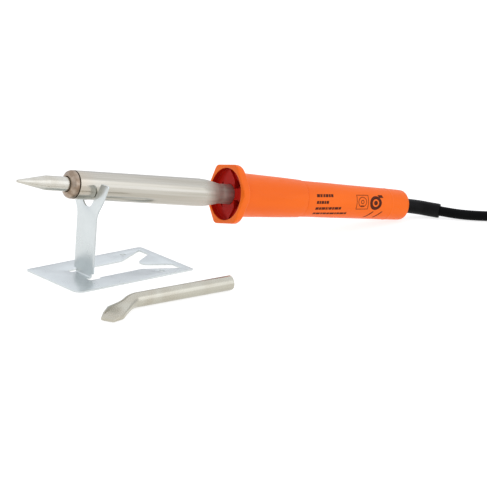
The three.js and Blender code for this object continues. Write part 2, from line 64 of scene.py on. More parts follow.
# ---- driving dimensions, mm ----------------------------------------------------------------------------
SHEET = 1.0
PLATE_LEFT, PLATE_RIGHT, PLATE_HALF = -25.6, 67.8, 30.3
PLATE_CORNERS = (6, 0.8, 3, 2)  # fillets, anticlockwise from the near left one
BEND_START = -1.2
BEND_INNER = 0.8
BEND_TOP = SHEET + BEND_INNER
BEND_ANGLE = math.radians(90 - 3.5)
STEM_HALF, NECK_HALF = 10.75, 8.4
FORK_CENTRE, FORK_GAP, FORK_ROUND, PRONG_TOP = 61.2, 10.0, 5.8, 65.6
FORK_HALF_ANGLE = math.radians(31.25)
AXIS_HEIGHT = 62.05
HANDLE_ROLL = math.radians(-12.9)
TIP_RADIUS = 4.9
BARREL_RADIUS, BARREL_WALL = 9.5, 0.5
NECK_RADIUS = 6.7
TIP_SCREW, TIP_SCREW_TURN = 16, math.radians(-100)
FLANGE_FRONT, FLANGE_BACK, FLANGE_APOTHEM = 114.2, 119.9, 20
FLANGE_FILLET, FLANGE_FILLET_GROWTH = 4, 8  # at the front, and how much rounder the back is
CUP_RADIUS, CUP_FLOOR, STAR_FRONT, HUB_BACK = 17.7, 118.6, 117.2, 121.5
GUARD_REAR, GRIP_FRONT, HANDLE_END = 176.4, 176.7, 269
GRIP_SCREW, GRIP_SCREW_TURN = 172, 0.6
CORD = 3.5
SLEEVE_OUTER, SLEEVE_FRONT, SLEEVE_LAST = 5.1, 264, 3
LEAD_START = 252
LEAD_ROUTE = [
    (278.0, -17.2, 7.05), (283.2, -21.2, 5.95), (288.2, -27.2, 5.2), (292.4, -32.0, 4.5),
    (296.5, -36.4, 3.95),
    (300.5, -40.7, 3.65), (305.0, -45.6, 3.6), (313.0, -53.2, 3.7), (322.0, -59.6, 3.9), (333.0, -64.6, 4.3),
    (345.0, -67.1, 4.8), (353.5, -67.5, 5.1),
]
HANK_X, HANK_Y, HANK_RUN = 375, -38, 90
BUNDLE, BUNDLE_HEIGHT = 26, 8.6
TAIL_ROUTE = [(376, -64, 19.4), (383, -63.8, 20.1), (390, -63.3, 21.7), (396.4, -62.8, 23.6)]
PLUG = (397, -62.7, 23.8)
PLUG_TILT, PLUG_ROLL = math.radians(-12), 0.5
TIE_X, TIE_WIDE, TIE_THICK = 418, 8, 1.0
SPARE_REAR, SPARE_KNEE = (62.2, -78.1), (-13.4, -73.6)
SPARE_BEND_RADIUS, SPARE_DROP, SPARE_BLADE = 14, 0.105, math.radians(26)

# ---- frames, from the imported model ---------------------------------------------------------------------
sheet_low, sheet_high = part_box("stand_sheet")
FOLD = Vector((sheet_low.x - PLATE_LEFT * MM, (sheet_low.y + sheet_high.y) / 2, 0))
AXIS = -Vector(next(j for j in frame["joints"] if j["name"] == "tip_pull")["axis"]).normalized()
STAND = Matrix.Translation(FOLD)
IRON = (
    Matrix.Translation(FOLD + Vector((0, 0, AXIS_HEIGHT * MM)))
    @ Matrix.Rotation(math.atan2(AXIS.y, AXIS.x), 4, "Z")
    @ Matrix.Rotation(-math.asin(AXIS.z), 4, "Y")
)
HANDLE = IRON @ Matrix.Rotation(HANDLE_ROLL, 4, "X")
PLUG_FRAME = (
    Matrix.Translation(FOLD + Vector(PLUG) * MM)
    @ Matrix.Rotation(PLUG_TILT, 4, "Y")
    @ Matrix.Rotation(PLUG_ROLL, 4, "X")
)


def at_fold(point):
    """A point in mm from the stand's reference point, as metres in the shared frame."""
    return FOLD + Vector(point) * MM


def on_axis(s):
    return IRON @ Vector((s * MM, 0, 0))


# ---- camera --------------------------------------------------------------------------------------------
CAMERA_AT = (-1062.94, -1526.90, 582.98)  # mm from the stand's reference point
CAMERA_AZIMUTH, CAMERA_ELEVATION, CAMERA_ROLL = (math.radians(a) for a in (-38.0765, 16.7280, 1.3126))
CAMERA_LENS = 217.97  # with a 36 mm sensor


def make_camera():
    back = Vector((
        math.sin(CAMERA_AZIMUTH) * math.cos(CAMERA_ELEVATION),
        -math.cos(CAMERA_AZIMUTH) * math.cos(CAMERA_ELEVATION),
        math.sin(CAMERA_ELEVATION),
    ))
    right = (-back).cross(Vector((0, 0, 1))).normalized()
    up = right.cross(-back)
    across = math.cos(CAMERA_ROLL) * right + math.sin(CAMERA_ROLL) * up
    upward = math.cos(CAMERA_ROLL) * up - math.sin(CAMERA_ROLL) * right
    camera = bpy.data.objects.new("camera", bpy.data.cameras.new("camera"))
    camera.data.lens = CAMERA_LENS
    camera.data.sensor_width = 36
    camera.data.clip_start, camera.data.clip_end = 0.05, 50
    turn = Matrix((across, upward, back)).transposed()
    camera.matrix_world = Matrix.Translation(at_fold(CAMERA_AT)) @ turn.to_4x4()
    scene.collection.objects.link(camera)
    scene.camera = camera


# ---- curves and outlines -------------------------------------------------------------------------------
def spline(points, spacing):
    """A centripetal Catmull-Rom curve through the points, in steps of about the spacing."""
    points = [Vector(p) for p in points]
    points = [2 * points[0] - points[1], *points, 2 * points[-1] - points[-2]]
    line = []
    for a, b, c, d in zip(points, points[1:], points[2:], points[3:]):
        ta = 0
        tb = ta + math.sqrt((b - a).length)
        tc = tb + math.sqrt((c - b).length)
        td = tc + math.sqrt((d - c).length)
        steps = max(2, round((c - b).length / spacing))
        for i in range(steps):
            t = tb + (tc - tb) * i / steps
            ab = a * ((tb - t) / (tb - ta)) + b * ((t - ta) / (tb - ta))
            bc = b * ((tc - t) / (tc - tb)) + c * ((t - tb) / (tc - tb))
            cd = c * ((td - t) / (td - tc)) + d * ((t - tc) / (td - tc))
            abc = ab * ((tc - t) / (tc - ta)) + bc * ((t - ta) / (tc - ta))
            bcd = bc * ((td - t) / (td - tb)) + cd * ((t - tb) / (td - tb))
            line.append(abc * ((tc - t) / (tc - tb)) + bcd * ((t - tb) / (tc - tb)))
    line.append(points[-2])
    return line


def rounded(corners, steps=5, closed=True):
    """An outline through the corners (x, y, radius), each rounded by an arc of its radius."""
    line = []
    for i, (x, y, radius) in enumerate(corners):
        here = Vector((x, y))
        if radius == 0 or (not closed and i in (0, len(corners) - 1)):
            line.append(here)
            continue
        before = Vector(corners[i - 1][:2]) - here
        after = Vector(corners[(i + 1) % len(corners)][:2]) - here
        half = before.angle(after) / 2
        back = min(radius / math.tan(half), 0.49 * before.length, 0.49 * after.length)
        reach = back * math.tan(half)
        centre = here + (before.normalized() + after.normalized()).normalized() * reach / math.sin(half)
        first = here + before.normalized() * back - centre
        last = here + after.normalized() * back - centre
        line += [centre + first.slerp(last, k / steps).normalized() * reach for k in range(steps + 1)]
    return line


def circle(radius, sides, x=0, y=0):
    turns = [2 * math.pi * i / sides for i in range(sides)]
    return [Vector((x + radius * math.cos(a), y + radius * math.sin(a))) for a in turns]


# ---- meshes --------------------------------------------------------------------------------------------
def skin(rings, closed=False):
    """A closed surface through rings of points. A ring of one point is a pole; open ends get flat caps."""
    bm = bmesh.new()
    loops = [[bm.verts.new(p) for p in ring] for ring in rings]
    pairs = list(zip(loops, loops[1:]))
    if closed:
        pairs.append((loops[-1], loops[0]))
    for a, b in pairs:
        for i in range(max(len(a), len(b))):
            j = i + 1
            corners = [a[i % len(a)], a[j % len(a)], b[j % len(b)], b[i % len(b)]]
            bm.faces.new(list(dict.fromkeys(corners)))
    if not closed:
        for loop in (loops[0], loops[-1]):
            if len(loop) > 2:
                bm.faces.new(loop)
    bmesh.ops.recalc_face_normals(bm, faces=bm.faces)
    return bm


def lathe(profile, sides=96):
    """A solid turned about X from (s, radius) points, which end on the axis or close on themselves."""
    rings = []
    for s, radius in profile:
        if radius < 1e-6:
            rings.append([Vector((s, 0, 0))])
        else:
            rings.append([Vector((s, p.x, p.y)) for p in circle(radius, sides)])
    return skin(rings, closed=profile[0][1] > 1e-6)


def turned(corners, sides=96, steps=4):
    """A lathe whose profile corners are (s, radius, rounding)."""
    on_the_axis = corners[0][1] == 0
    return lathe(rounded(corners, steps, closed=not on_the_axis), sides)


def box_mesh(low, high):
    bm = bmesh.new()
    middle = [(a + b) / 2 for a, b in zip(low, high)]
    size = [b - a for a, b in zip(low, high)]
    bmesh.ops.create_cube(bm, matrix=Matrix.LocRotScale(Vector(middle), None, Vector(size)))
    return bm


def rod(start, end, radius, sides=32):
    """A cylinder between two points."""
    start, end = Vector(start), Vector(end)
    turn = (end - start).to_track_quat("X", "Z").to_matrix()
    ring = [turn @ Vector((0, p.x, p.y)) for p in circle(radius, sides)]
    return skin([[start + p for p in ring], [end + p for p in ring]])


def sections(path):
    """At each point of a path, two directions across it that turn as little as they can."""
    ways = [(b - a).normalized() for a, b in zip([path[0], *path], [*path[1:], path[-1]])]
    across = ways[0].orthogonal().normalized()
    found = []
    for way in ways:
        across = (across - way * across.dot(way)).normalized()
        found.append((across, way.cross(across)))
    return found


def tube_ring(point, directions, radius, sides):
    return [point + directions[0] * p.x + directions[1] * p.y for p in circle(radius, sides)]


def combine(base, operation, *others):
    """base joined to, or cut by, each of the others, by exact booleans."""
    made = as_object(base)
    helpers = [as_object(other) for other in others]
    for helper in helpers:
        modifier = made.modifiers.new("combine", "BOOLEAN")
        modifier.operation = operation
        modifier.solver = "EXACT"
        modifier.object = helper
    bpy.context.view_layer.update()
    shape = made.evaluated_get(bpy.context.evaluated_depsgraph_get())
    bm = bmesh.new()
    bm.from_mesh(shape.to_mesh())
    shape.to_mesh_clear()
    for thing in [made, *helpers]:
        mesh = thing.data
        bpy.data.objects.remove(thing)
        bpy.data.meshes.remove(mesh)
    bmesh.ops.remove_doubles(bm, verts=bm.verts, dist=1e-4)
    bmesh.ops.dissolve_degenerate(bm, edges=bm.edges, dist=1e-4)
    return bm


def as_object(bm):
    mesh = bpy.data.meshes.new("helper")
    bm.to_mesh(mesh)
    bm.free()
    made = bpy.data.objects.new("helper", mesh)
    scene.collection.objects.link(made)
    return made


def soften(bm, width, angle=45, segments=2):
    """Rounds every edge that turns by more than the angle, by a small width."""
    bm.normal_update()
    sharp = [e for e in bm.edges if e.is_manifold and e.calc_face_angle() > math.radians(angle)]
    bmesh.ops.bevel(
        bm, geom=sharp, offset=width, segments=segments, profile=0.5, affect="EDGES", clamp_overlap=True
    )
    return bm


def piece(name, bm, body, materials, replaces=(), matrix=STAND, smooth=35, in_metres=False):
    """An object from a mesh drawn in mm, riding on a body and standing for CAD nodes."""
    if not in_metres:
        bmesh.ops.scale(bm, vec=(MM, MM, MM), verts=bm.verts)
    mesh = bpy.data.meshes.new(name)
    bm.to_mesh(mesh)
    bm.free()
    for material in materials:
        mesh.materials.append(material)
    mesh.polygons.foreach_set("use_smooth", [True] * len(mesh.polygons))
    mesh.set_sharp_from_angle(angle=math.radians(smooth))
    made = bpy.data.objects.new(name, mesh)
    scene.collection.objects.link(made)
    made.matrix_world = matrix
    if body:
        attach(made, body)
    if replaces:
        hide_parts(*replaces)
    return made


# ---- materials -----------------------------------------------------------------------------------------
class Shader:
    """A material being built. Its noise is measured in the object's own metres."""

    def __init__(self, name, color, roughness, metallic=0.0, specular=0.5):
        self.material = bpy.data.materials.new(name)
        self.material.use_nodes = True
        self.tree = self.material.node_tree
        self.surface = self.tree.nodes["Principled BSDF"]
        self.surface.inputs["Base Color"].default_value = (*color, 1)
        self.surface.inputs["Roughness"].default_value = roughness
        self.surface.inputs["Metallic"].default_value = metallic
        self.surface.inputs["Specular IOR Level"].default_value = specular
        self.place = self.node("ShaderNodeTexCoord").outputs["Object"]

    def node(self, kind, inputs=(), **settings):
        made = self.tree.nodes.new(kind)
        for key, value in settings.items():
            setattr(made, key, value)
        for key, value in dict(inputs).items():
            if isinstance(value, bpy.types.NodeSocket):
                self.tree.links.new(value, made.inputs[key])
            else:
                made.inputs[key].default_value = value
        return made

    def noise(self, scale, detail=3.0, stretch=(1, 1, 1)):
        """Noise with this many features in a metre, each axis divided by its stretch."""
        mapped = self.node(
            "ShaderNodeMapping", {"Vector": self.place, "Scale": tuple(scale / s for s in stretch)}
        ).outputs[0]
        inputs = {"Vector": mapped, "Scale": 1.0, "Detail": detail}
        return self.node("ShaderNodeTexNoise", inputs).outputs["Fac"]

    def cells(self, scale):
        mapped = self.node("ShaderNodeMapping", {"Vector": self.place, "Scale": (scale,) * 3}).outputs[0]
        found = self.node("ShaderNodeTexVoronoi", {"Vector": mapped, "Scale": 1.0})
        return self.node("ShaderNodeSeparateColor", {"Color": found.outputs["Color"]}).outputs[0]

    def along(self, axis):
        return self.node("ShaderNodeSeparateXYZ", {"Vector": self.place}).outputs[axis]

    def ramp(self, value, low, high, start=0.0, end=1.0):
        made = self.node(
            "ShaderNodeMapRange",
            {"Value": value, "From Min": low, "From Max": high, "To Min": start, "To Max": end},
        )
        return made.outputs[0]

    def mix(self, factor, a, b):
        made = self.node("ShaderNodeMix", {"Factor": factor}, data_type="RGBA")
        for socket, value in ((made.inputs[6], a), (made.inputs[7], b)):
            if isinstance(value, bpy.types.NodeSocket):
                self.tree.links.new(value, socket)
            else:
                socket.default_value = (*value, 1)
        return made.outputs[2]

    def color(self, socket):
        self.tree.links.new(socket, self.surface.inputs["Base Color"])

    def roughness(self, socket):
        self.tree.links.new(socket, self.surface.inputs["Roughness"])

    def bump(self, *layers):
        """Each layer is (height socket, depth in mm)."""
        normal = None
        for height, depth in layers:
            inputs = {"Height": height, "Distance": depth * MM, "Strength": 1.0}
            if normal:
                inputs["Normal"] = normal
            normal = self.node("ShaderNodeBump", inputs).outputs[0]
        self.tree.links.new(normal, self.surface.inputs["Normal"])


def barrel_steel():
    """Stainless tube polished along its length, warmer where it has been hottest."""
    m = Shader("barrel_steel", (0.46, 0.435, 0.375), 0.17, 1)
    streaks = m.noise(1500, 4, (60, 1, 1))
    bands = m.noise(420, 2, (40, 1, 1))
    smudge = m.noise(60, 3, (2, 1, 1))
    tone = m.mix(m.ramp(bands, 0.35, 0.65), (0.42, 0.395, 0.335), (0.50, 0.477, 0.418))
    m.color(m.mix(m.ramp(m.along(0), 0.004, -0.009, 0, 0.35), tone, (0.50, 0.40, 0.29)))
    streaked, smudged = m.ramp(streaks, 0.3, 0.7, 0, 0.07), m.ramp(smudge, 0.4, 0.7, 0, 0.04)
    mixed = m.node("ShaderNodeMath", {0: streaked, 1: smudged})
    neck = m.ramp(m.along(0), 0.090, 0.098, 0.11, 0.44)  # the stepped-down neck is only brushed
    m.roughness(m.node("ShaderNodeMath", {0: mixed.outputs[0], 1: neck}).outputs[0])
    m.bump((bands, 0.012), (streaks, 0.002))
    return m.material


def nickel(name, bright, stained):
    """Satin nickel plating, warm, with fine turning marks and faint handling stains."""
    m = Shader(name, bright, 0.24, 1)
    grain = m.noise(5200, 2, (1, 6, 6))
    stain = m.noise(90, 4)
    m.color(m.mix(m.ramp(stain, 0.4, 0.7), bright, stained))
    m.roughness(m.ramp(grain, 0.3, 0.7, 0.18, 0.3))
    m.bump((grain, 0.0015), (stain, 0.01))
    return m.material


def tinted_ring():
    """Steel browned by heat, unevenly."""
    m = Shader("heat_tinted_steel", (0.36, 0.28, 0.21), 0.3, 1)
    cloud = m.noise(260, 4)
    dark = m.noise(110, 2)
    tint = m.mix(m.ramp(cloud, 0.35, 0.65), (0.39, 0.315, 0.245), (0.25, 0.18, 0.125))
    m.color(m.mix(m.ramp(dark, 0.52, 0.66, 0, 0.8), tint, (0.13, 0.09, 0.06)))
    m.roughness(m.ramp(cloud, 0.3, 0.7, 0.24, 0.38))
    m.bump((m.noise(2500, 3), 0.004))
    return m.material


def zinc():
    """Bright zinc plating on rolled sheet: fine spangle, rolling grain and faint scratches."""
    m = Shader("zinc_plating", (0.62, 0.655, 0.65), 0.3, 1)
    spangle = m.cells(700)
    cloud = m.noise(70, 4)
    grain = m.noise(2600, 2, (9, 1, 1))
    base = m.mix(m.ramp(cloud, 0.35, 0.65), (0.60, 0.635, 0.63), (0.655, 0.69, 0.685))
    m.color(m.mix(m.ramp(spangle, 0, 1, 0, 0.12), base, (0.50, 0.555, 0.565)))
    m.roughness(m.ramp(cloud, 0.3, 0.7, 0.26, 0.38))
    m.bump((grain, 0.002), (cloud, 0.03))
    return m.material


def orange_plastic(name, base, shade, roughness=0.36, specular=0.28):
    """Moulded plastic with a fine spark texture, faint flow marks and some scuffing."""
    m = Shader(name, base, roughness, 0, specular)
    flow = m.noise(45, 2, (5, 1, 1))
    spark = m.noise(4200, 2)
    scuff = m.noise(380, 4, (3, 1, 1))
    m.color(m.mix(m.ramp(flow, 0.35, 0.65), base, shade))
    m.roughness(m.ramp(scuff, 0.35, 0.75, roughness - 0.04, roughness + 0.12))
    m.bump((spark, 0.004), (flow, 0.05))
    return m.material


def black_rubber(name, value, roughness, dust, specular=0.2):
    """Black flexible plastic with extrusion lines, dulled by a little dust."""
    m = Shader(name, (value,) * 3, roughness, 0, specular)
    film = m.noise(150, 5)
    m.color(m.mix(m.ramp(film, 0.45, 0.8), (value,) * 3, (value + dust,) * 3))
    m.roughness(m.ramp(film, 0.3, 0.7, roughness - 0.06, roughness + 0.1))
    m.bump((m.noise(2600, 3), 0.006))
    return m.material


def plain_plastic(name, base, shade, roughness=0.5):
    """Moulded or extruded plastic seen up close only when the part is taken apart."""
    m = Shader(name, base, roughness)
    m.color(m.mix(m.ramp(m.noise(300, 3), 0.35, 0.65), base, shade))
    m.roughness(m.ramp(m.noise(900, 2), 0.3, 0.7, roughness - 0.08, roughness + 0.08))
    m.bump((m.noise(2500, 2), 0.006))
    return m.material


def plated_steel(name, base, shade, roughness=0.25):
    """Plated metal with turning marks."""
    m = Shader(name, base, roughness, 1)
    m.color(m.mix(m.ramp(m.noise(500, 3), 0.35, 0.65), base, shade))
    m.roughness(m.ramp(m.noise(3000, 2), 0.3, 0.7, roughness - 0.07, roughness + 0.1))
    m.bump((m.noise(4000, 2), 0.002))
    return m.material


def ink():
    """Pad-printed ink, a little uneven and matt."""
    m = Shader("print_ink", (0.06, 0.012, 0.006), 0.55, 0, 0.1)
    m.color(m.mix(m.ramp(m.noise(1600, 3), 0.4, 0.7), (0.05, 0.010, 0.004), (0.12, 0.024, 0.008)))
    m.roughness(m.ramp(m.noise(900, 2), 0.3, 0.7, 0.48, 0.62))
    return m.material


STEEL = barrel_steel()
TIP_NICKEL = nickel("nickel_plating", (0.576, 0.558, 0.495), (0.504, 0.477, 0.405))
SPARE_NICKEL = nickel("worn_nickel_plating", (0.487, 0.47, 0.396), (0.435, 0.405, 0.33))
TINTED = tinted_ring()
ZINC = zinc()
ORANGE = orange_plastic("orange_plastic", (0.80, 0.132, 0.003), (0.74, 0.112, 0.002), 0.36, 0.2)
# the cup's inside: orange plastic darkened to deep red, painted shade for the recess
CUP_PAINTED_SHADE = orange_plastic("shaded_orange_plastic", (0.43, 0.006, 0.001), (0.33, 0.004, 0.001), 0.42, 0.1)
SLEEVE_BLACK = black_rubber("sleeve_black", 0.001, 0.4, 0.006, 0.1)
CORD_BLACK = black_rubber("cord_black", 0.001, 0.5, 0.003, 0.06)
PLUG_BLACK = black_rubber("plug_black", 0.010, 0.45, 0.015)
TIE_BLACK = black_rubber("tie_black", 0.014, 0.4, 0.01)
INK = ink()
SCREW = plated_steel("zinc_plated_screw", (0.62, 0.62, 0.60), (0.52, 0.52, 0.50))
PIN_METAL = plated_steel("nickel_plated_brass", (0.74, 0.72, 0.66), (0.64, 0.61, 0.54), 0.2)
INSIDE = {
    "mica": plain_plastic("mica_sheet", (0.45, 0.37, 0.22), (0.60, 0.52, 0.36), 0.35),
    "heater_wire": plated_steel("resistance_wire", (0.20, 0.18, 0.16), (0.30, 0.26, 0.22), 0.4),
    "ceramic": plain_plastic("fired_ceramic", (0.78, 0.74, 0.65), (0.70, 0.66, 0.56), 0.6),
    "core_brown": plain_plastic("brown_insulation", (0.12, 0.035, 0.012), (0.09, 0.026, 0.009)),
    "core_blue": plain_plastic("blue_insulation", (0.012, 0.06, 0.32), (0.009, 0.045, 0.25)),
    "core_green": plain_plastic("green_insulation", (0.14, 0.30, 0.02), (0.45, 0.40, 0.02)),
    "bakelite": plain_plastic("moulded_phenolic", (0.012, 0.010, 0.009), (0.022, 0.016, 0.012), 0.3),
    "screw_steel": SCREW,
    "barrel_steel": STEEL,
}


# ---- lead ----------------------------------------------------------------------------------------------
def hank_path():
    """Four turns of lead round two ends. At the near end the bundle turns a quarter, so each strand
    moves on."""
    reach = CORD * math.sqrt(2)
    lift = [(29.5, 12.1), (32.5, 15.5), (31.0, 18.6), (29.0, 20.1), (26.0, 19.4)]
    near, far = HANK_X, HANK_X + HANK_RUN
    points = []
    for turn in range(4):
        start = math.radians(-45 - 90 * turn)
        radius = BUNDLE + reach * math.cos(start)
        height = BUNDLE_HEIGHT + reach * math.sin(start)
        first = near if turn else near + 10
        points += [(first + (far - first) * k / 5, HANK_Y - radius, height) for k in range(1, 5)]
        for k in range(17):
            a = -math.pi / 2 + math.pi * k / 16
            points.append((far + radius * math.cos(a), HANK_Y + radius * math.sin(a), height))
        points += [(far + (near - far) * k / 5, HANK_Y + radius, height) for k in range(1, 5)]
        for k in range(17):
            a = math.pi / 2 + math.pi * k / 16
            if turn < 3:
                swing = start - math.pi / 2 * (k / 16)
                r, z = BUNDLE + reach * math.cos(swing), BUNDLE_HEIGHT + reach * math.sin(swing)
            else:
                step = min(3, k // 4)
                part = k / 4 - step
                r, z = Vector(lift[step]).lerp(Vector(lift[step + 1]), part)
            points.append((near + r * math.cos(a), HANK_Y + r * math.sin(a), z))
    return points


def lead_path():
    inside = [on_axis(s) for s in (LEAD_START, 262, HANDLE_END - 1.5)]
    outside = [at_fold(p) for p in [*LEAD_ROUTE, *hank_path(), *TAIL_ROUTE[1:]]]
    return spline([*inside, *outside], 2.5 * MM)


def make_lead():
    path = lead_path()
    rings = [tube_ring(p, d, CORD * MM, 20) for p, d in zip(path, sections(path))]
    lead = piece(
        "mains_lead", skin(rings), None, [CORD_BLACK], matrix=Matrix.Identity(4),
        in_metres=True,
    )
    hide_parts("cord_lead", "cord_hank", "cord_tail")
    # two points on the stretch between the sleeve's end and the hank, worked out but not used
    lifted, lying = at_fold((289, -60, 5)), at_fold((340, -60, 5))
    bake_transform(lead)
    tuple(lying)
    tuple(lifted)
    on_axis(HANDLE_END)


def make_sleeve():
    """The moulded sleeve that keeps the lead from kinking at the handle, cut a little askew at its end."""
    points = [on_axis(SLEEVE_FRONT), on_axis(HANDLE_END - 1.5), *map(at_fold, LEAD_ROUTE[:SLEEVE_LAST])]
    path = spline(points, 0.8 * MM)
    across = sections(path)
    outer, inner = [], []
    for i, (point, directions) in enumerate(zip(path, across)):
        left = len(path) - 1 - i
        edge = 0.25 if left == 0 else 0.06 if left == 1 else 0
        outer.append(tube_ring(point, directions, (SLEEVE_OUTER - edge) * MM, 40))
        inner.append(tube_ring(point, directions, (CORD + 0.2) * MM, 40))
    return piece(
        "cord_sleeve", skin(outer + inner[::-1], closed=True), "iron", [SLEEVE_BLACK],
        ["strain_relief"], Matrix.Identity(4), in_metres=True,
    )


# ---- stand ---------------------------------------------------------------------------------------------
def plate_outlines():
    outside = rounded([
        (PLATE_LEFT, -PLATE_HALF, PLATE_CORNERS[0]), (PLATE_RIGHT, -PLATE_HALF, PLATE_CORNERS[1]),
        (PLATE_RIGHT, PLATE_HALF, PLATE_CORNERS[2]), (PLATE_LEFT, PLATE_HALF, PLATE_CORNERS[3]),
    ])
    half = [
        (BEND_START, -NECK_HALF, 0), (-4.4, -NECK_HALF, 2.2), (-4.4, -13.3, 2.2), (3.4, -13.3, 1),
        (5.5, -11.3, 1), (39, -11.3, 3), (62.6, -24.6, 0.8), (62.6, -13.4, 0.8),
    ]
    cutout = rounded([*half, (41.5, 0, 5.5), *[(x, -y, r) for x, y, r in reversed(half)]])
    holes = [circle(1.75, 32, 47.6, side * 22.2) for side in (-1, 1)]
    return [outside, cutout, *holes]


BEND_MIDDLE = BEND_INNER + SHEET / 2
BEND_LENGTH = BEND_MIDDLE * BEND_ANGLE


def tab_outline():
    """The upright laid flat, from the fold line up: first the bend, then the stem and the fork."""
    sin, cos = math.sin(FORK_HALF_ANGLE), math.cos(FORK_HALF_ANGLE)
    prong_in = FORK_GAP * cos + (PRONG_TOP - (FORK_CENTRE - FORK_GAP * sin)) / cos * sin
    half = [
        (BEND_TOP - BEND_LENGTH, NECK_HALF, 0), (3.4, NECK_HALF, 0.5), (3.6, STEM_HALF, 0.8),
        (43.4, STEM_HALF, 14), (53.8, 17.2, 12), (PRONG_TOP, 22.4, 0.8), (PRONG_TOP, prong_in, 1),
    ]
    valley = (FORK_CENTRE - FORK_GAP / sin, 0, FORK_ROUND)
    corners = [*half, valley, *[(h, -y, r) for h, y, r in reversed(half)]]
    return [Vector((p.x - BEND_TOP + BEND_LENGTH, p.y)) for p in rounded(corners, 8)]


def fill(bm, outlines, is_tab):
    """Adds a flat face region between closed outlines."""
    edges = []
    for outline in outlines:
        verts = [bm.verts.new((p.x, p.y, 0)) for p in outline]
        for v in verts:
            v[bm.verts.layers.int["tab"]] = is_tab
        edges += [bm.edges.new((a, b)) for a, b in zip(verts, verts[1:] + verts[:1])]
    bmesh.ops.triangle_fill(bm, use_beauty=True, use_dissolve=False, edges=edges, normal=(0, 0, 1))


def folded(flat, up, is_tab):
    """Where a point of the flat sheet goes, with up 0 on its under face and 1 on its upper one."""
    if not is_tab:
        return Vector((flat.x, flat.y, up * SHEET))
    turn = min(flat.x / BEND_MIDDLE, BEND_ANGLE)
    radius = BEND_INNER + SHEET * (1 - up)
    past = max(0, flat.x - BEND_LENGTH)
    x = radius * math.sin(turn) + past * math.cos(turn)
    z = BEND_TOP - radius * math.cos(turn) + past * math.sin(turn)
    return Vector((BEND_START + x, flat.y, z))


def make_stand():
    bm = bmesh.new()
    tab = bm.verts.layers.int.new("tab")
    fill(bm, plate_outlines(), 0)
    fill(bm, [tab_outline()], 1)
    for k in range(1, 11):
        faces = [f for f in bm.faces if all(v[tab] for v in f.verts)]
        inside = list({e for f in faces for e in f.edges}) + list({v for f in faces for v in f.verts}) + faces
        bmesh.ops.bisect_plane(bm, geom=inside, plane_co=(BEND_LENGTH * k / 10, 0, 0), plane_no=(1, 0, 0))
        for f in bm.faces:
            if any(v[tab] for v in f.verts):
                for v in f.verts:
                    v[tab] = 1
    under = {v: (v.co.copy(), v[tab]) for v in bm.verts}
    upper = {v: bm.verts.new(folded(flat, 1, is_tab)) for v, (flat, is_tab) in under.items()}
    for face in list(bm.faces):
        bm.faces.new([upper[v] for v in face.verts])
    for edge in [e for e in bm.edges if len(e.link_faces) == 1 and e.verts[0] in upper]:
        a, b = edge.verts
        bm.faces.new((a, b, upper[b], upper[a]))
    for v, (flat, is_tab) in under.items():
        v.co = folded(flat, 0, is_tab)
    bmesh.ops.remove_doubles(bm, verts=bm.verts, dist=1e-4)
    bmesh.ops.recalc_face_normals(bm, faces=bm.faces)
    soften(bm, 0.13, 50)
    piece("stand", bm, "stand", [ZINC], ["stand_sheet"])


# ---- hot end -------------------------------------------------------------------------------------------
def screw_bore(radius):
    turn = Matrix.Rotation(TIP_SCREW_TURN, 3, "X")
    return rod(turn @ Vector((TIP_SCREW, 0, 3)), turn @ Vector((TIP_SCREW, 0, 12)), radius)


def make_tip():
    tip = turned([
        (-52.4, 0, 0), (-52.3, 0.62, 0.3), (-51.6, 0.98, 0.5), (-32.0, 4.62, 2.5), (-29.6, TIP_RADIUS, 2.5),
        (50, TIP_RADIUS, 0.7), (50, 0, 0),
    ])
    piece("bit", tip, "tip", [TIP_NICKEL], ["tip"], IRON)


def make_nose_ring():
    skirt = BARREL_RADIUS - BARREL_WALL - 0.3
    ring = turned([
        (-14.2, 5.25, 0.2), (-14.1, 6.3, 0.5), (-12.3, 8.9, 0.9), (-10.9, 9.4, 0.8), (-9.5, 9.42, 0.15),
        (-9.5, skirt, 0.1), (-6.8, skirt, 0.2), (-6.8, 7.4, 0.2), (-10.8, 7.2, 0.5), (-12.6, 5.25, 0.3),
    ])
    piece("nose_collar", ring, "iron", [TINTED], ["nose_ring"], IRON)


def make_barrel():
    inner, neck_inner = BARREL_RADIUS - BARREL_WALL, NECK_RADIUS - BARREL_WALL
    tube = turned([
        (-8.6, BARREL_RADIUS, 0.15), (95.2, BARREL_RADIUS, 60), (108.2, NECK_RADIUS, 12),
        (125, NECK_RADIUS, 0.1), (125, neck_inner, 0.1), (107.9, neck_inner, 12), (94.9, inner, 60),
        (-8.6, inner, 0.15),
    ], 144, 12)
    cut = combine(tube, "DIFFERENCE", screw_bore(2.0))
    piece("heater_barrel", cut, "iron", [STEEL], ["barrel"], IRON)


def make_tip_screw():
    screw = turned([
        (TIP_RADIUS + 0.3, 0, 0), (TIP_RADIUS + 0.3, 1.7, 0.3), (9.8, 1.7, 0.1), (9.8, 3.2, 0.25),
        (12.2, 3.2, 0.5), (12.2, 0, 0),
    ], 48)
    cut = combine(screw, "DIFFERENCE", box_mesh((11.4, -4, -0.45), (13, 4, 0.45)))
    upright = Matrix.Rotation(TIP_SCREW_TURN, 4, "X") @ Matrix.Translation((TIP_SCREW * MM, 0, 0))
    piece(
        "bit_set_screw", cut, "tip_screw", [SCREW], ["tip_screw"],
        IRON @ upright @ Matrix.Rotation(-math.pi / 2, 4, "Y"),
    )


# ---- handle --------------------------------------------------------------------------------------------
GRIP_OUTSIDE = [
    (GRIP_FRONT, 12.6, 0.25), (178.5, 12.55, 1), (184, 12.36, 3), (199.6, 12.12, 8), (221, 11.62, 8),
    (251.5, 11.0, 0.6), (252.5, 11.14, 0.5), (253.6, 10.95, 0.6), (262.8, 10.7, 4),
    (HANDLE_END - 0.2, 10.4, 5), (HANDLE_END, 6.2, 0.5),
]


